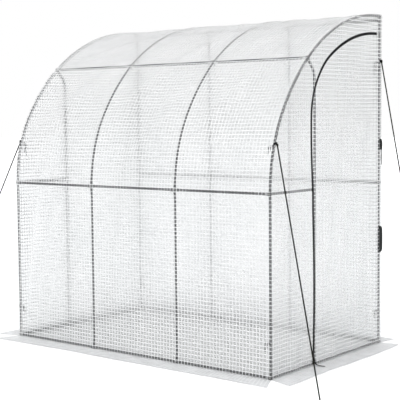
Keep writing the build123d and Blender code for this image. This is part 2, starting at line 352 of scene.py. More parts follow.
def zinc(name, dark, light, crystals, roughness):
    """Galvanised steel."""
    material, tree, shader = new_material(name)
    frost = tree.nodes.new("ShaderNodeGroup")
    frost.node_tree = zinc_crystals
    feed(tree, frost, Place=object_place(tree), Crystals_per_metre=crystals)
    crystal, streak, height = frost.outputs
    tone = do_math(tree, "MULTIPLY_ADD", crystal, crystal_share, dark_shift)
    tone = do_math(tree, "ADD", tone, do_math(tree, "MULTIPLY", streak, streak_share), clamp=True)
    rough = spread(tree, crystal, 0, 1, roughness - 0.07, roughness + 0.09)
    feed(tree, shader, Base_Color=mix_colour(tree, tone, dark, light), Roughness=rough, Metallic=0.9)
    bump(tree, shader, height, 0.15, 0.1 * mm)
    return material


tube_zinc = zinc("tube_zinc", (0.07, 0.072, 0.075), (0.18, 0.183, 0.187), 190, 0.42)
peg_zinc = zinc("peg_zinc", (0.22, 0.22, 0.22), (0.42, 0.42, 0.42), 240, 0.36)
bolt_zinc = zinc("bolt_zinc", (0.30, 0.30, 0.29), (0.52, 0.52, 0.50), 320, 0.30)

# %% Give the tubes their zinc
slot_of_node = {row["node"]: row["material_slot"] for row in frame["record"]["subparts"]}
zinc_of_slot = {"galvanised_tube": tube_zinc, "peg_steel": peg_zinc}
zinced = [node for node in frame["nodes"] if slot_of_node[node] in zinc_of_slot]
for node in zinced:
    materials = frame["nodes"][node].data.materials
    materials.clear()
    materials.append(zinc_of_slot[slot_of_node[node]])
print("zinc on", len(zinced), "nodes")

# %% [markdown]
# ## The film
# The cover is clear polyethylene, a little milky, under a grid of flat white tapes. What touches the film
# shows sharply through it, and what lies far behind fades. Plain see-through alpha shows near and far
# alike, so the film is a thin sheet with two rough faces that bend light, as the real one has, with small
# clear flecks between. Tubes on the film then stay dark, and the rear posts show as faint lines. Broad
# cloudy bands in its tint break up the even white. They are painted light and shade for broad soft folds.

# %% Milky film and white tape
film_tint_and_fold_shade = ((0.965, 0.97, 0.97), (1.0, 1.0, 1.0))
fold_shade_bands_per_metre = 1.7
film_rough = (0.16, 0.24)
fleck_rough = 0.03
flecks_per_metre = 420
fleck_share = (0.56, 0.60)
film_index = 1.42
tape_tone = ((0.79, 0.795, 0.80), (0.85, 0.85, 0.85))
tape_rough = (0.45, 0.65)
most_noise = (0.3, 0.7)

milky_film, tree, shader = new_material("milky_film")
place = object_place(tree)
haze = spread(tree, cloud(tree, place, 3.2, 4), *most_noise, *film_rough)
clear = spread(tree, cloud(tree, place, flecks_per_metre, 0), *fleck_share, 1, 0)
rough = do_math(tree, "MAXIMUM", do_math(tree, "MULTIPLY", haze, clear), fleck_rough)
# Painted fold shade: broad cloudy bands darken the film's milky white tint a little, for the light and dark
# of soft folds
painted_fold_shade = spread(tree, cloud(tree, place, fold_shade_bands_per_metre, 1), 0.42, 0.58, 0, 1)
feed(tree, shader, Base_Color=mix_colour(tree, painted_fold_shade, *film_tint_and_fold_shade), Roughness=rough)
feed(tree, shader, Transmission_Weight=1.0, IOR=film_index)
bump(tree, shader, cloud(tree, place, 45, 3), 0.06, 1 * mm)

white_tape, tree, shader = new_material("white_tape")
place = object_place(tree)
ribs = cloud(tree, place, 700, 2)
shade = spread(tree, cloud(tree, place, 6, 3), *most_noise, 0, 1)
rough = spread(tree, ribs, *most_noise, *tape_rough)
feed(tree, shader, Base_Color=mix_colour(tree, shade, *tape_tone), Roughness=rough)
bump(tree, shader, ribs, 0.3, 0.2 * mm)
print("film bends light by", film_index)

# %% [markdown]
# ## Sheets from a wire
# A long sheet is a chain of vertices along the hoop's line, swept along the tunnel. An end sheet is a
# wire, extruded up the leg and spun round the hoop's two centres, closed and filled, then cut into small
# squares by planes, so that it has vertices to fold and keeps its exact outline. A grid bent to the curve
# would be quicker, but its rim would be a staircase.


# %% Wire and sheet helpers
def verts_in(geom):
    """The vertices among an operator's results."""
    return [item for item in geom if isinstance(item, bmesh.types.BMVert)]


def extrude_to(bm, vert, place):
    """A new vertex at a place, joined to a vertex."""
    made = bmesh.ops.extrude_vert_indiv(bm, verts=[vert])["verts"][0]
    made.co = place
    return made


def chain_through(bm, points):
    """A chain of vertices through points."""
    chain = [bm.verts.new(points[0])]
    for point in points[1:]:
        chain.append(extrude_to(bm, chain[-1], point))
    return chain


def spin_vert(bm, vert, x, centre, angle, steps):
    """Turn a vertex round a centre, leaving a chain of edges, and return its end."""
    made = bmesh.ops.spin(bm, geom=[vert], cent=(x, *centre), axis=(1, 0, 0), angle=angle, steps=steps)
    return verts_in(made["geom_last"])[0]


def bow_wire(bm, bow, out, bottom, y_end, x, step):
    """A bow's line as a chain of edges, from its bottom to the end of its tail."""
    lower_steps = ceil(bow.lower * bow.bend / step)
    upper_steps = ceil(bow.upper * (pi / 2 - bow.bend) / step)
    first = bm.verts.new((x, bow.y_leg - out, bottom))
    vert = extrude_to(bm, first, (x, bow.y_leg - out, bow.foot))
    vert = spin_vert(bm, vert, x, bow.lower_centre, -bow.bend, lower_steps)
    vert = spin_vert(bm, vert, x, bow.upper_centre, bow.bend - pi / 2, upper_steps)
    return first, extrude_to(bm, vert, (x, y_end, bow.top + out))


def cut_along(bm, axis, places):
    """Cut every face by planes across an axis."""
    for place in places:
        everything = bm.verts[:] + bm.edges[:] + bm.faces[:]
        bmesh.ops.bisect_plane(bm, geom=everything, dist=1e-6, plane_co=axis * place, plane_no=axis)


def face_outward(bm, outward):
    """Turn all faces of an open sheet to one side."""
    bmesh.ops.recalc_face_normals(bm, faces=bm.faces[:])
    bm.normal_update()
    if sum(face.normal.dot(outward(face.calc_center_median())) for face in bm.faces) < 0:
        bmesh.ops.reverse_faces(bm, faces=bm.faces[:])
        bm.normal_update()


# %% Piece helpers
def add_piece(name, bm, material, replaces=(), smooth=True):
    """Finish a mesh as a piece that rides on the frame."""
    piece = bpy.data.objects.new(name, bpy.data.meshes.new(name))
    bm.to_mesh(piece.data)
    bm.free()
    for polygon in piece.data.polygons:
        polygon.use_smooth = smooth
    piece.data.materials.append(material)
    bpy.context.scene.collection.objects.link(piece)
    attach(piece, "root")
    if replaces:
        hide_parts(*replaces)
    triangles = sum(len(polygon.vertices) - 2 for polygon in piece.data.polygons)
    print(name, triangles, "triangles")
    return piece


def thicken(piece, thickness, offset=0):
    """Give a sheet its thickness."""
    solidify = piece.modifiers.new("thickness", "SOLIDIFY")
    solidify.thickness = thickness
    solidify.offset = offset


# %% [markdown]
# ## The thread grid
# The white threads make a grid of small squares. A tube shows as a row of dark dashes where it lies in the
# middle of a row of squares, and as a pale line where a thread runs along it. The photograph shows dashes,
# so level threads keep half a square away from every rail. Upright threads of the long sheets lie over the
# inner hoops, since the camera at the corner sees them half a square beside the tube, and keep half a
# square off the outer ones. A pattern in the material would be lighter, but here the tapes are cut from
# the sheet's own mesh: each square is inset, and what is left between the squares is the grid. Slivers and
# rims get no tape, and the film's rim is marked sharp, since smoothed normals there would bend the light.

# %% Film with tapes on its mesh lines
squares_to_bay = 29
cell = bay_length / squares_to_bay
tape_width = 4.2 * mm
film_thickness = 0.4 * mm
tape_lift = 0.3 * mm
least_square_share = 0.3


def thread_lines(low, tubes, high):
    """Places of the threads between two edges of a sheet, half a square from every tube."""
    lines = []
    for near, far in zip(tubes, tubes[1:]):
        count = round((far - near) / cell)
        lines += [near + (far - near) * (number + 0.5) / count for number in range(count)]
    lines += [tubes[0] - cell * (number + 0.5) for number in range(int((tubes[0] - low) / cell))]
    lines += [tubes[-1] + cell * (number + 0.5) for number in range(int((high - tubes[-1]) / cell))]
    return sorted(line for line in lines if low < line < high)


def add_film(name, bm, replaces, material=milky_film):
    """A film from a sheet of square cells, and the tapes that run along the lines between the cells."""
    bm.normal_update()
    tapes = bm.copy()
    least = least_square_share * cell * cell
    slivers = [face for face in tapes.faces if face.calc_area() <= least]
    bmesh.ops.delete(tapes, geom=slivers, context="FACES")
    squares = tapes.faces[:]
    bmesh.ops.inset_individual(tapes, faces=squares, thickness=tape_width / 2, use_even_offset=True)
    bmesh.ops.delete(tapes, geom=squares, context="FACES")
    hems = [face for face in tapes.faces if sum(edge.is_boundary for edge in face.edges) > 1]
    bmesh.ops.delete(tapes, geom=hems, context="FACES")
    for vert in tapes.verts:
        vert.co += vert.normal * tape_lift
    for edge in bm.edges:
        edge.smooth = not edge.is_boundary
    film = add_piece(name, bm, material, replaces)
    thicken(film, film_thickness)
    return film, add_piece(name.replace("film", "tapes"), tapes, white_tape)


# %% [markdown]
# ## Folds
# Film is never flat. It sags a little between hoops, keeps soft drag folds where it is pulled towards a
# corner, and shows the creases of the packet it came in. A cloth simulation would give folds that no one
# chose, so here they are a height worked out from the place on the sheet, pinned to nothing at every tube
# that the film lies on.

# %% Fold heights
crease_pitch = 0.42
crease_reach = 14 * mm
soft_height = 3 * mm
Folds = namedtuple("Folds", "drag length angle seed soft_seed crease crease_start sag")


def bulge(value):
    """A round hump, one in the middle of a span and nought at its ends."""
    return sin(pi * min(max(value, 0.0), 1.0))


def ease(value):
    """A smooth step from nought to one."""
    share = min(value, 1.0)
    return share * share * (3 - 2 * share)


def panel_slack(value, knots):
    """How free the film is between the tubes that hold it, along one axis."""
    for low, high in zip(knots, knots[1:]):
        if low <= value <= high:
            return bulge((value - low) / (high - low))
    return 0.0


def drag_folds(u, v, angle, length, seed):
    """Soft folds of uneven height, one to a length, that sway as they run at an angle over a sheet."""
    sway = 0.35 * length * noise.noise((1.3 * u, 1.3 * v, seed))
    across = v * cos(angle) - u * sin(angle) + sway
    wave = 0.5 + 0.5 * cos(2 * pi * across / length)
    return wave ** 2 * (0.55 + 0.9 * noise.noise((across / length, seed, 0.3)))


def packet_creases(u, v):
    """Sharp creases in a square pattern, where the cover was folded for its packet."""
    near = [abs((value / crease_pitch) % 1 - 0.5) * crease_pitch for value in (u, v)]
    return sum(max(0.0, 1 - gap / crease_reach) for gap in near)


def crinkle(u, v, seed):
    """Small uneven waves."""
    return soft_height * (noise.noise((7 * u, 7 * v, seed)) + 0.5 * noise.noise((17 * u, 17 * v, seed)))


def fold_height(u, v, folds):
    """Drag folds, crinkles and packet creases of a free stretch of film, less its sag."""
    drag = folds.drag * drag_folds(u, v, radians(folds.angle), folds.length, folds.seed)
    creases = folds.crease * packet_creases(u + folds.crease_start[0], v + folds.crease_start[1])
    return drag + crinkle(u, v, folds.soft_seed) + creases - folds.sag


# %% Seats of the film on rails and bolts
bolt_head = 3 * mm
bolt_spread = 20 * mm
settle_depth = 3.2 * mm
settle_reach = 90 * mm


def bolt_bulge(x, run, rails):
    """Small lifts of the film over the bolt heads."""
    near = [station for station in stations if abs(x - station) < 3 * bolt_spread]
    reaches = [hypot(x - station, run - rail) / bolt_spread for station in near for rail in rails]
    return sum(bolt_head / (1 + reach ** 4) for reach in reaches)


def settle(run, rails):
    """How far the film sinks from the rails, which stand out, to the hoops and posts between them."""
    return -settle_depth * ease(min(abs(run - rail) for rail in rails) / settle_reach)


# %% Front and roof sheet
roof_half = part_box("front_roof_cover")[1].x
grid_half = stations[-1] + cell
grid_steps = round(2 * grid_half / cell)
roof_knots = (0.0, z_mid, purlin_run, roof_run)
roof_rails = (z_base, z_mid, purlin_run)
roof_folds = Folds(
    drag=24 * mm, length=0.42, angle=34, seed=2.0, soft_seed=5.0,
    crease=1.6 * mm, crease_start=(0.13, 0.21), sag=13 * mm
)
wall_folds = roof_folds._replace(drag=12 * mm, sag=8 * mm)
turn_per_bay = 9


def roof_fold(x, run):
    """Height of the folds on the sheet over front and roof."""
    free = (panel_slack(x, stations) * panel_slack(run, roof_knots)) ** 0.5
    folds = roof_folds if run > z_mid else wall_folds
    bay = (x - stations[0]) / bay_length
    folds = folds._replace(angle=folds.angle + turn_per_bay * bay, seed=folds.seed + int(bay))
    lift = settle(run, roof_rails) + bolt_bulge(x, run, roof_rails)
    return lift + free * fold_height(x, run, folds)


def sweep_sheet(bm, lines, line_at):
    """Sweep a chain along the tunnel, then draw its ends out to the edges and off the outer hoops."""
    chain_through(bm, [(-grid_half, *line_at(line)) for line in (0.0, *lines)])
    geom = bm.verts[:] + bm.edges[:]
    step = (2 * grid_half / grid_steps, 0, 0)
    bmesh.ops.spin(bm, geom=geom, cent=(0, 0, 0), axis=(1, 0, 0), dvec=step, angle=0, steps=grid_steps)
    for vert in bm.verts:
        if abs(vert.co.x) > grid_half - cell / 2:
            vert.co.x = copysign(roof_half, vert.co.x)
        elif abs(vert.co.x) > stations[-1] - cell / 2:
            vert.co.x = copysign(stations[-1] - cell / 2, vert.co.x)


bm = bmesh.new()
roof_lines = (*thread_lines(0.0, roof_rails, roof_run), roof_run)
sweep_sheet(bm, roof_lines, lambda run: bow_at(hoop_bow, run, film_out)[:2])
face_outward(bm, lambda place: place - Vector((place.x, y_rear, 0)))
for vert in bm.verts:
    run = bow_run(hoop_bow, vert.co.y, vert.co.z, film_out)
    vert.co += vert.normal * roof_fold(vert.co.x, run)
roof_sheet, tapes = add_film("front_roof_film", bm, ["front_roof_cover"])

# %% [markdown]
# ## End walls and door
# The left end is one flat sheet. In the right end the black zip cuts a door out of the sheet, so the two
# are separate pieces that meet under the zip. Folds here die out at the posts, at the hoop and at the zip.
# A long zip never hangs quite straight in soft film, so it sways, and takes the film beside it along.

# %% End folds
end_out = film_out - 1 * mm
door_post_bend = 0.1
door_post_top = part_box("right_door_post")[1].z - door_post_bend
end_free_reach = 0.16
end_folds = Folds(
    drag=9 * mm, length=0.24, angle=78, seed=8.0, soft_seed=9.0,
    crease=1.5 * mm, crease_start=(0.05, 0.21), sag=3 * mm
)
sway_reach = 90 * mm
rear_sway = (12 * mm, 0.0, 0.95)
front_sway = (-16 * mm, 1.05, 0.7)


def end_fold(y, z):
    """Height of the folds on an end wall."""
    held = [bow_gap(hoop_bow, y, z), abs(y - y_rear), bow_gap(zip_bow, y, z)]
    if z < door_post_top:
        held.append(abs(y - y_door_post))
    return ease(min(held) / end_free_reach) * fold_height(y, z, end_folds)


def zip_sway(z):
    """How far the zip is pulled aside at a height: to the rear low down, to the front below its curve."""
    return sum(pull * bulge((z - low) / span) for pull, low, span in (rear_sway, front_sway))


# %% End sheets
def end_sheet(name, lines, side, replaces):
    """A folded sheet in an end wall, between two lines or from one line to a straight back."""
    bm = bmesh.new()
    wires = [bow_wire(bm, *line, 0.0, y_rear + end_out, side * end_film_x, cell) for line in lines]
    first, last = wires[0]
    if len(wires) > 1:
        foot, tail = wires[1]
        bm.edges.new((first, foot))
        bm.edges.new((last, tail))
    else:
        corner = extrude_to(bm, last, (last.co.x, last.co.y, 0.0))
        bm.edges.new((corner, first))
    bmesh.ops.contextual_create(bm, geom=bm.edges[:])
    ys = [vert.co.y for vert in bm.verts]
    zs = [vert.co.z for vert in bm.verts]
    cut_along(bm, Vector((0, 1, 0)), thread_lines(min(ys), (y_front, y_door_post, y_rear), max(ys)))
    cut_along(bm, Vector((0, 0, 1)), thread_lines(min(zs), (z_base, middle("right_mid_rail").z), max(zs)))
    face_outward(bm, lambda place: Vector((side, 0, 0)))
    for vert in bm.verts:
        vert.co.x += side * end_fold(vert.co.y, vert.co.z)
        if side > 0:
            pull = max(0.0, 1 - bow_gap(zip_bow, vert.co.y, vert.co.z) / sway_reach)
            vert.co.y += pull * zip_sway(vert.co.z)
    film, tapes = add_film(name, bm, replaces)


hoop_line = (hoop_bow, end_out)
zip_line = (zip_bow, 0.0)
end_sheet("left_end_film", [hoop_line], -1, ["left_end_cover"])
end_sheet("right_end_film", [hoop_line, zip_line], 1, ["right_end_cover"])
end_sheet("door_film", [zip_line], 1, ["door_flap"])

# %% [markdown]
# ## Rear wall
# The rear sheet hangs straight behind the four posts. It shows only through the front film, as a second,
# softer layer. A bare plane would do there, but it is seen from behind too, so it gets folds of its own.

# %% Rear sheet
rear_y = y_rear + film_out
rear_top = z_top + film_out
rear_rails = (z_base, z_mid, z_top_rail)
rear_folds = Folds(
    drag=13 * mm, length=0.36, angle=140, seed=14.0, soft_seed=15.0,
    crease=1.6 * mm, crease_start=(0.05, 0.11), sag=7 * mm
)


def rear_fold(x, z):
    """Height of the folds on the rear wall."""
    free = (panel_slack(x, stations) * panel_slack(z, (0.0, z_mid, z_top))) ** 0.5
    lift = settle(z, rear_rails) + bolt_bulge(x, z, rear_rails)
    return lift + free * fold_height(x, z, rear_folds)


bm = bmesh.new()
sweep_sheet(bm, (*thread_lines(0.0, rear_rails, rear_top), rear_top), lambda z: (rear_y, z))
face_outward(bm, lambda place: Vector((0, 1, 0)))
for vert in bm.verts:
    vert.co.y += rear_fold(vert.co.x, vert.co.z)
rear_sheet, tapes = add_film("rear_film", bm, ["rear_cover"])

# %% [markdown]
# ## Ground skirts
# Below each wall the cover runs out over the ground as a flap, to be weighted with soil. The flap is loose
# film, so its outer edge wanders and it lies in low waves. It could be cut from a flat plane, but a grid
# stretched to the flap, one side along the wall and the other along the wandering edge, keeps square
# threads.

# %% Film that lies on the ground
# The flaps' grey tone is painted shade, for the shadow of the film on the ground beneath it. A noise varies
# it in patches, together with the alpha and the roughness.
skirt_shade_tone = ((0.68, 0.685, 0.69), (0.80, 0.805, 0.81))
skirt_alpha = (0.80, 0.92)
skirt_rough = (0.3, 0.5)
shade_patch_range = (0.32, 0.68)

ground_film, tree, shader = new_material("ground_film")
place = object_place(tree)
patch_noise = cloud(tree, place, 14, 6)
# Painted shade: the flaps' grey, mixed in patches between two tones
painted_shade_patches = mix_colour(tree, spread(tree, patch_noise, *shade_patch_range, 0, 1), *skirt_shade_tone)
rough = spread(tree, patch_noise, *most_noise, *skirt_rough)
feed(tree, shader, Base_Color=painted_shade_patches, Alpha=spread(tree, patch_noise, *shade_patch_range, *skirt_alpha), Roughness=rough)
bump(tree, shader, cloud(tree, place, 60, 3), 0.3, 1 * mm)
print("skirts let through", [round(1 - alpha, 2) for alpha in skirt_alpha])

# %% Skirts
skirt_rest = 1.2 * mm
skirt_wave = 7 * mm
waves_per_metre = 6
edge_wander = ((9 * mm, 4.1, 0.7), (5 * mm, 11, 3.1))


def skirt(side, wall, x, y, along, outward, widths, flares, seed):
    """A flap from a corner along a wall, with millimetres of width at its start, middle and end."""
    length = along.length
    widths = [width * mm for width in widths]
    flares = [flare * mm for flare in flares]
    bm = bmesh.new()
    bmesh.ops.create_grid(bm, x_segments=ceil(length / cell), y_segments=ceil(max(widths) / cell), size=0.5)
    for vert in bm.verts:
        u = vert.co.x + 0.5
        v = vert.co.y + 0.5
        width = widths[1] + (widths[0] - widths[1]) * (1 - u) ** 6 + (widths[2] - widths[1]) * u ** 6
        for size, rate, row in edge_wander:
            width += size * noise.noise((u * length * rate, seed, row))
        flare = v * (flares[1] * u ** 3 - flares[0] * (1 - u) ** 3)
        place = Vector((x, y, 0)) + along * u + along.normalized() * flare + Vector(outward) * (v * width)
        wave = 0.5 + 0.5 * noise.noise((place.x * waves_per_metre, place.y * waves_per_metre, seed))
        place.z = skirt_rest + skirt_wave * wave * v ** 0.7
        vert.co = place
    face_outward(bm, lambda place: Vector((0, 0, 1)))
    film, tapes = add_film(f"{side}_skirt_film", bm, [f"{side}_skirt"], ground_film)


wall_y = (y_front - film_out, y_rear + film_out)
length = Vector((2 * cover_end, 0, 0))
depth = Vector((0, wall_y[1] - wall_y[0], 0))
for row in (
    ("front", "front_roof_film", -cover_end, wall_y[0], length, (0, -1, 0), (155, 148, 158), (55, 80), 21.0),
    ("rear", "rear_film", cover_end, wall_y[1], -length, (0, 1, 0), (140, 135, 140), (30, 30), 23.0),
    ("right", "right_end_film", cover_end, wall_y[0], depth, (1, 0, 0), (163, 150, 135), (55, 10), 25.0),
    ("left", "left_end_film", -cover_end, wall_y[1], -depth, (-1, 0, 0), (160, 145, 163), (55, 55), 27.0),
):
    skirt(*row)

# %% [markdown]
# ## Black plastic and webbing
# Zip, straps and ropes are all black, but not the same black. Zip teeth are smooth nylon with a small
# shine, webbing is ribbed and matt, and the rope has a green cast and dusty lays. The ribs are a wave
# across the piece. In a white room every shine turns black into grey, so the shine is kept very low.

# %% Black materials
black_shine = 0.1


def black_weave(name, dark, light, ribs, roughness):
    """Woven or twisted black fibre, ribbed along Z, with paler dusty threads."""
    material, tree, shader = new_material(name)
    place = object_place(tree)
    wave = add_node(tree, "ShaderNodeTexWave", Vector=place, Scale=ribs, Distortion=1.5)
    wave.bands_direction = "Z"
    rib = wave.outputs["Fac"]
    patch_noise = cloud(tree, place, 60, 5)
    tone = do_math(tree, "MULTIPLY", rib, spread(tree, patch_noise, 0.35, 0.7, 0.2, 1.0))
    rough = spread(tree, patch_noise, *most_noise, roughness - 0.1, roughness + 0.1)
    feed(tree, shader, Base_Color=mix_colour(tree, tone, dark, light), Roughness=rough)
    feed(tree, shader, Specular_IOR_Level=black_shine)
    bump(tree, shader, rib, 0.6, 0.4 * mm)
    return material


webbing_black = black_weave("webbing_black", (0.008, 0.008, 0.009), (0.035, 0.035, 0.036), 260, 0.75)
strap_black = black_weave("strap_black", (0.018, 0.02, 0.02), (0.07, 0.076, 0.075), 260, 0.75)
rope_black = black_weave("rope_black", (0.006, 0.006, 0.004), (0.028, 0.028, 0.02), 420, 0.85)
tie_grey = black_weave("tie_grey", (0.05, 0.05, 0.052), (0.16, 0.16, 0.165), 300, 0.8)

zip_tone = ((0.006, 0.006, 0.007), (0.022, 0.022, 0.023))
zip_rough = (0.28, 0.46)
zip_black, tree, shader = new_material("zip_black")
scuffs = cloud(tree, object_place(tree), 130, 4)
rough = spread(tree, scuffs, *most_noise, *zip_rough)
feed(tree, shader, Base_Color=mix_colour(tree, scuffs, *zip_tone), Roughness=rough)
feed(tree, shader, Specular_IOR_Level=2 * black_shine)
bump(tree, shader, scuffs, 0.2, 0.2 * mm)
print("black shine", black_shine)

# %% [markdown]
# ## Zip
# A zip is two woven tapes with a row of teeth between them and a slider. Each tape is a pair of wires
# along the zip's line, bridged and thickened. The teeth are small blocks set one after another along the
# line, every second one a little to the other side, so that they mesh. Bumps in a material would look flat
# close by.

# %% Zip tapes
zip_x = zip_low.x
zip_depth = zip_high.x - zip_low.x
zip_foot = zip_low.z
zip_end_gap = 12 * mm
zip_end = zip_high.y - zip_end_gap
zip_tape_half = 9 * mm
zip_tape_seat = 0.4 * mm
zip_tape_thickness = 0.8 * mm
zip_slit = 0.1 * mm
zip_step = 20 * mm


def sway_along(bm):
    """Pull a straight zip aside as it hangs."""
    for vert in bm.verts:
        vert.co.y += zip_sway(vert.co.z)


bm = bmesh.new()
for edges in ((-zip_tape_half, -zip_slit), (zip_slit, zip_tape_half)):
    wires = []
    for out in edges:
        before = set(bm.edges)
        bow_wire(bm, zip_bow, out, zip_foot, zip_end, zip_x + zip_tape_seat, zip_step)
        wires += [edge for edge in bm.edges if edge not in before]
    bmesh.ops.bridge_loops(bm, edges=wires)
leg_steps = range(1, int(zip_bow.foot / zip_step))
cut_along(bm, Vector((0, 0, 1)), [zip_foot + zip_step * number for number in leg_steps])
sway_along(bm)
face_outward(bm, lambda place: Vector((1, 0, 0)))
thicken(add_piece("zip_tapes", bm, webbing_black, ["door_zip"]), zip_tape_thickness, 1)


# %% Zip teeth
def along_zip(run, x):
    """A frame on the zip's line: X across the wall, Y outward, Z along the line."""
    y, z, turn = bow_at(zip_bow, run)
    return Matrix.Translation((x, y, z)) @ Matrix.Rotation(-turn, 4, "X")


tooth_pitch = 4 * mm
tooth_size = (1.7 * mm, 4.2 * mm, 2.4 * mm)
tooth_side = 0.9 * mm
tooth_edge = 0.4 * mm
teeth_out = 0.2 * mm
teeth_x = zip_x + 0.5 * zip_depth + teeth_out


def edges_of(verts):
    """The edges that meet at some vertices, each once."""
    return list(dict.fromkeys(edge for vert in verts for edge in vert.link_edges))


def tooth_row(bm, run, pairs, centre=(0, 0), turn=0.0, step=(0, 0, 0)):
    """Pairs of teeth that mesh, repeated from a run up the zip along a straight or round stretch."""
    verts = []
    for number, side in ((0.5, 1), (1.5, -1)):
        place = along_zip(run + number * tooth_pitch, teeth_x)
        block = place @ Matrix.Translation((0, side * tooth_side, 0)) @ Matrix.Diagonal((*tooth_size, 1))
        verts += bmesh.ops.create_cube(bm, size=1, matrix=block)["verts"]
    faces = list(dict.fromkeys(face for vert in verts for face in vert.link_faces))
    geom = verts + edges_of(verts) + faces
    round_bend = {"cent": (teeth_x, *centre), "axis": (1, 0, 0), "angle": -turn * (pairs - 1) / pairs}
    bmesh.ops.spin(bm, geom=geom, **round_bend, dvec=step, steps=pairs - 1, use_duplicate=True)


pair = 2 * tooth_pitch
upper_turn = pi / 2 - zip_bow.bend
lower_length = zip_bow.lower * zip_bow.bend
upper_length = zip_bow.upper * upper_turn
leg_pairs = int((zip_bow.foot - zip_foot) / pair)
bm = bmesh.new()
start = zip_bow.foot
tooth_row(bm, start - leg_pairs * pair, leg_pairs, step=(0, 0, pair))
tooth_row(bm, start, round(lower_length / pair), zip_bow.lower_centre, zip_bow.bend)
start += lower_length
tooth_row(bm, start, round(upper_length / pair), zip_bow.upper_centre, upper_turn)
start += upper_length
tooth_row(bm, start, 2, step=(0, pair, 0))
sway_along(bm)
zip_teeth = add_piece("zip_teeth", bm, zip_black, smooth=False)
edge_round = zip_teeth.modifiers.new("soft edges", "BEVEL")
edge_round.width = tooth_edge
edge_round.segments = 1


# %% Webbing helper
def webbing(name, profiles, thickness, material, replaces=()):
    """Straps from chains of points, each extruded evenly to both sides along its own axis."""
    bm = bmesh.new()
    for width_axis, points in profiles:
        chain = chain_through(bm, [Vector(point) - width_axis / 2 for point in points])
        made = bmesh.ops.extrude_edge_only(bm, edges=edges_of(chain))
        bmesh.ops.translate(bm, verts=verts_in(made["geom"]), vec=width_axis)
    bmesh.ops.recalc_face_normals(bm, faces=bm.faces[:])
    piece = add_piece(name, bm, material, replaces)
    round_over = piece.modifiers.new("curve", "SUBSURF")
    round_over.levels = 2
    round_over.render_levels = 2
    thicken(piece, thickness)


# %% Zip slider and pull
def soft_block(bm, matrix, size, edge):
    """A block with rounded edges."""
    made = bmesh.ops.create_cube(bm, size=1, matrix=matrix @ Matrix.Diagonal((*size, 1)))
    edges = edges_of(made["verts"])
    bmesh.ops.bevel(bm, geom=edges, offset=edge, affect="EDGES", segments=2, profile=0.5, material=-1)


slider_rise = 46 * mm
slider_out = 1.2 * mm
slider_edge = 1.2 * mm
slider_size = (3.4 * mm, 11 * mm, 15 * mm)
bridge_size = (2 * mm, 3.5 * mm, 9 * mm)
bridge_out = 2.4 * mm
bridge_edge = 0.8 * mm
bm = bmesh.new()
slider = along_zip(zip_foot + slider_rise, zip_x + zip_depth + slider_out)
soft_block(bm, slider, slider_size, slider_edge)
soft_block(bm, slider @ Matrix.Translation((bridge_out, 0, 0)), bridge_size, bridge_edge)
add_piece("zip_slider", bm, zip_black)

pull_width = Vector((0, 11 * mm, 0))
pull_thickness = 1.8 * mm
pull_start = slider @ Vector((3.6 * mm, 0, -2 * mm))
pull_shape = ((12, 0, 34), (19, -2, 17), (30, -3, 10), (52, -1, 8.5), (84, 4, 8.5))
pull_points = [Vector((zip_x, zip_bow.y_leg, 0)) + Vector(point) * mm for point in pull_shape]
webbing("zip_pull", [(pull_width, [pull_start, *pull_points])], pull_thickness, webbing_black)

# %% [markdown]
# ## Straps and tabs
# Two webbing straps at the rear edge hold the door when it is rolled up. The lower one is a loop, sewn
# flat at both ends and bowed out between, and the upper one hangs down in a narrow end. A strap could be a
# bent block, but a chain of vertices in the shape of the bow, extruded to its width, rounds over more
# softly.

# %% Door straps
strap_width = 32 * mm
wedge_width = 0.8 * strap_width
tail_width = 5 * mm
strap_thickness = 3 * mm
strap_bow = 7 * mm
loop_height = 170 * mm
wedge_height = 72 * mm
tail_reach = 98 * mm
tail_lap = 14 * mm
straps_low, straps_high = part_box("door_straps")
strap_x = straps_low.x + strap_thickness / 2
strap_inset = 0.5 * mm
strap_edge = straps_high.y - strap_inset
strap_middle = strap_edge - strap_width / 2
wedge_low = straps_high.z - wedge_height


def strap(width, y, low, span, shape):
    """A strap's width and its points, from pairs of a share of its height and a share of its bow."""
    points = [(strap_x + strap_bow * rise, y, low + span * share) for share, rise in shape]
    return Vector((0, width, 0)), points


half_loop = ((0, 0), (0.03, 0), (0.07, 0.7), (0.14, 1))
loop_shape = (*half_loop, (0.5, 1.05), *((1 - share, rise) for share, rise in reversed(half_loop)))
wedge_shape = ((0, 0.6), (0.2, 0.75), (0.5, 1), (0.8, 0.8), (0.93, 0), (1, 0))
end_shape = ((0, 0.5), (0.2, 0.7), (0.45, 0.3), (0.7, 0.7), (0.9, 0.6), (1, 0.6))
straps = [
    strap(strap_width, strap_middle, straps_low.z, loop_height, loop_shape),
    strap(wedge_width, strap_middle, wedge_low, wedge_height, wedge_shape),
    strap(tail_width, strap_edge - tail_width, wedge_low - tail_reach, tail_reach + tail_lap, end_shape),
]
webbing("door_strap_loops", straps, strap_thickness, strap_black, ["door_straps"])

# %% Ends of the ropes
corners = ("front_left", "front_right", "rear_left", "rear_right")
rope_end_depth = 6 * mm


def rope_ends(node):
    """Middle of the top end and of the bottom end of a straight rope."""
    places = sorted((vert.co for vert in frame["nodes"][node].data.vertices), key=lambda place: place.z)
    low = [place for place in places if place.z < places[0].z + rope_end_depth]
    high = [place for place in places if place.z > places[-1].z - rope_end_depth]
    return sum(high, Vector()) / len(high), sum(low, Vector()) / len(low)


rope_lines = {corner: rope_ends(f"{corner}_guy_rope") for corner in corners}
for corner, (top, foot) in rope_lines.items():
    print(corner, "rope", round((top - foot).length, 3), "m")

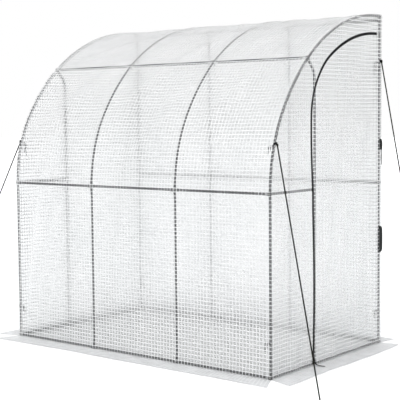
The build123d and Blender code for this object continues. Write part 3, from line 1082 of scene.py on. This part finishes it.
# %% Guy tabs
tab_size = (3 * mm, 32 * mm, 15 * mm)
tab_rise = 14 * mm
tab_edge = 1 * mm
bm = bmesh.new()
for top, foot in rope_lines.values():
    tab_x = copysign(cover_end + tab_size[0] / 2, top.x)
    soft_block(bm, Matrix.Translation((tab_x, top.y, top.z + tab_rise)), tab_size, tab_edge)
add_piece("guy_tab_patches", bm, webbing_black, ["guy_tabs"])

# %% [markdown]
# ## Guy ropes
# The ropes are laid from three strands. A strand is a small ring spun along the rope's line while it turns
# round it, so the twist is real geometry, where a plain rod with stripes would have a straight edge. One
# lay is modelled and an Array repeats it. The ropes are taut and straight, tied to the tab and to the peg.

# %% Twisted ropes
rope_radius = 3.9 * mm
strand_radius = 0.6 * rope_radius
strand_seat = 0.55 * rope_radius
lay_length = 22 * mm
lay_steps = 8


def stand_on(place, axis):
    """A frame at a place, with Z along an axis."""
    return Matrix.Translation(place) @ axis.to_track_quat("Z", "Y").to_matrix().to_4x4()


def twisted_rope(name, top, foot, replaces):
    """Three strands twisted round a straight line: one lay, repeated to the rope's length."""
    line = foot - top
    lays = round(line.length / lay_length)
    lay = line / lays
    axis = line.normalized()
    bm = bmesh.new()
    for strand in range(3):
        turn = Matrix.Rotation(2 * pi * strand / 3, 4, "Z")
        place = stand_on(top, line) @ turn @ Matrix.Translation((strand_seat, 0, 0))
        ring = bmesh.ops.create_circle(bm, segments=6, radius=strand_radius, matrix=place)["verts"]
        geom = ring + edges_of(ring)
        step = lay / lay_steps
        bmesh.ops.spin(bm, geom=geom, cent=top, axis=axis, dvec=step, angle=2 * pi, steps=lay_steps)
    bmesh.ops.recalc_face_normals(bm, faces=bm.faces[:])
    repeat = add_piece(name, bm, rope_black, replaces).modifiers.new("lays", "ARRAY")
    repeat.count = lays
    repeat.use_relative_offset = False
    repeat.use_constant_offset = True
    repeat.constant_offset_displace = lay
    repeat.use_merge_vertices = True
    repeat.merge_threshold = 0.05 * mm


# %% Ropes and knots
knot_pitch = 4.6 * mm
top_knot = (2, 4 * mm, knot_pitch, 1.1 * rope_radius, 0.8 * rope_radius)
foot_knot = (4, -30 * mm, -knot_pitch, 1.5 * rope_radius, 0.9 * rope_radius)
round_steps = 14
merge_gap = 0.02 * mm


def turn_round(bm, verts, place, axis):
    """Spin a ring or a profile once round an axis."""
    geom = verts + edges_of(verts)
    bmesh.ops.spin(bm, geom=geom, cent=place, axis=axis, angle=2 * pi, steps=round_steps, use_merge=True)


def close_seams(bm):
    """Join the seams of turned shapes and face them outward."""
    bmesh.ops.remove_doubles(bm, verts=bm.verts[:], dist=merge_gap)
    bmesh.ops.recalc_face_normals(bm, faces=bm.faces[:])


def rope_knot(bm, end, line, turns, start, step, radius, thickness):
    """Turns of rope round a rope, one beside the other, from a start near its end."""
    seat = Matrix.Translation((radius, 0, 0)) @ Matrix.Rotation(pi / 2, 4, "X")
    for number in range(turns):
        place = end + line * (start + step * number)
        matrix = stand_on(place, line) @ seat
        ring = bmesh.ops.create_circle(bm, segments=8, radius=thickness, matrix=matrix)["verts"]
        turn_round(bm, ring, place, line)


knots = bmesh.new()
for corner, (top, foot) in rope_lines.items():
    line = (foot - top).normalized()
    top = top - line * tab_rise
    twisted_rope(f"{corner}_twisted_rope", top, foot, [f"{corner}_guy_rope"])
    rope_knot(knots, top, line, *top_knot)
    rope_knot(knots, foot, line, *foot_knot)
close_seams(knots)
add_piece("rope_knots", knots, rope_black)

# %% [markdown]
# ## Ties
# Inside, short grey tapes tie the cover to the tubes. The rings come with the frame. Their knots and
# hanging ends are added here, since a ring alone looks like a hose clip.

# %% Tie knots and ends
tie_width = Vector((0, 6 * mm, 0))
tie_thickness = 2 * mm
knot_size = (9 * mm, 8 * mm, 11 * mm)
knot_edge = 3 * mm
knot_seat = 5 * mm
usual_tails = ((52 * mm, 20 * mm), (34 * mm, 9 * mm))
long_tails = ((88 * mm, 24 * mm), (60 * mm, 12 * mm))
tail_shape = ((0, 0), (0.45, 0.10), (0.85, 0.02), (1, -0.2), (0.92, -0.5), (1.05, -0.8), (0.85, -1))

ties = frame["nodes"]["cover_ties"].data
ties.materials.clear()
ties.materials.append(tie_grey)
rings = {}
for vert in ties.vertices:
    corner = (vert.co.x > 0, vert.co.y > 0, vert.co.z > z_mid)
    rings.setdefault(corner, []).append(vert.co)

bm = bmesh.new()
tie_tails = []
for (right, rear, high), places in rings.items():
    inward = -1 if right else 1
    seat = sum(places, Vector()) / len(places) + Vector((inward * (tube_radius + knot_seat), 0, 0))
    soft_block(bm, Matrix.Translation(seat), knot_size, knot_edge)
    for drop, reach in long_tails if high and right == rear else usual_tails:
        reach *= 1.2 + 0.8 * noise.noise(30 * seat)
        points = [seat + Vector((inward * reach * out, 0, drop * down)) for out, down in tail_shape]
        tie_tails.append((tie_width, points))
add_piece("tie_knots", bm, tie_grey)
webbing("tie_ends", tie_tails, tie_thickness, tie_grey)

# %% [markdown]
# ## Bolts
# Each flat rail end is bolted through the tube: a low domed head outside, a nut inside. A squashed sphere
# would have no edge, so a dome is a short profile spun round the bolt's axis.

# %% Bolt heads and nuts
head_radius = 6 * mm
head_rise = 2.6 * mm
head_outline = ((1, 0), (1, 0.25), (0.82, 0.68), (0.45, 0.95), (0, 1))
nut_radius = 5.5 * mm
nut_height = 5 * mm
thread_radius = 3 * mm
thread_end = 5 * mm


def dome_head(bm, place, axis):
    """A low domed bolt head, its foot at a place, pointing along an axis."""
    level = stand_on(place, axis)
    points = [level @ Vector((head_radius * out, 0, head_rise * up)) for out, up in head_outline]
    turn_round(bm, chain_through(bm, points), place, axis)


def hex_nut(bm, place, axis):
    """A hexagon nut and the end of its bolt, standing along an axis."""
    for radius, height, sides in ((nut_radius, nut_height, 6), (thread_radius, nut_height + thread_end, 10)):
        level = stand_on(place + axis * height / 2, axis)
        bmesh.ops.create_cone(
            bm, cap_ends=True, segments=sides, radius1=radius, radius2=radius, depth=height, matrix=level
        )


# %% Bolts at the rail ends
tongue_out = 11.35 * mm
purlin_head = 8 * mm
purlin_nut = 20 * mm
front_way = Vector((0, -1, 0))
rear_way = Vector((0, 1, 0))
purlin_way = Vector((0, -cos(purlin_turn), sin(purlin_turn)))
end_bolts = [(y, z_base) for y in (y_front, y_door_post, y_rear)]
end_bolts += [(y, z_mid) for y in (y_front, y_door_post)]


def bolt(bm, place, way, head, nut):
    """A bolt through a place: its head out along a way, its nut on the other side."""
    dome_head(bm, place + way * head, way)
    hex_nut(bm, place - way * nut, -way)


bm = bmesh.new()
for x in stations:
    for z in (z_base, z_mid):
        bolt(bm, Vector((x, y_front, z)), front_way, tongue_out, tube_radius)
    for z in rear_rails:
        bolt(bm, Vector((x, y_rear, z)), rear_way, tongue_out, tube_radius)
    bolt(bm, Vector((x, purlin.y, purlin.z)), purlin_way, purlin_head, purlin_nut)
for rail, inner, inward in (("left", 1, 1), ("right", 0, -1)):
    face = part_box(f"{rail}_base_rail")[inner].x
    for y, z in end_bolts:
        dome_head(bm, Vector((face, y, z)), Vector((inward, 0, 0)))
close_seams(bm)
add_piece("rail_bolts", bm, bolt_zinc)
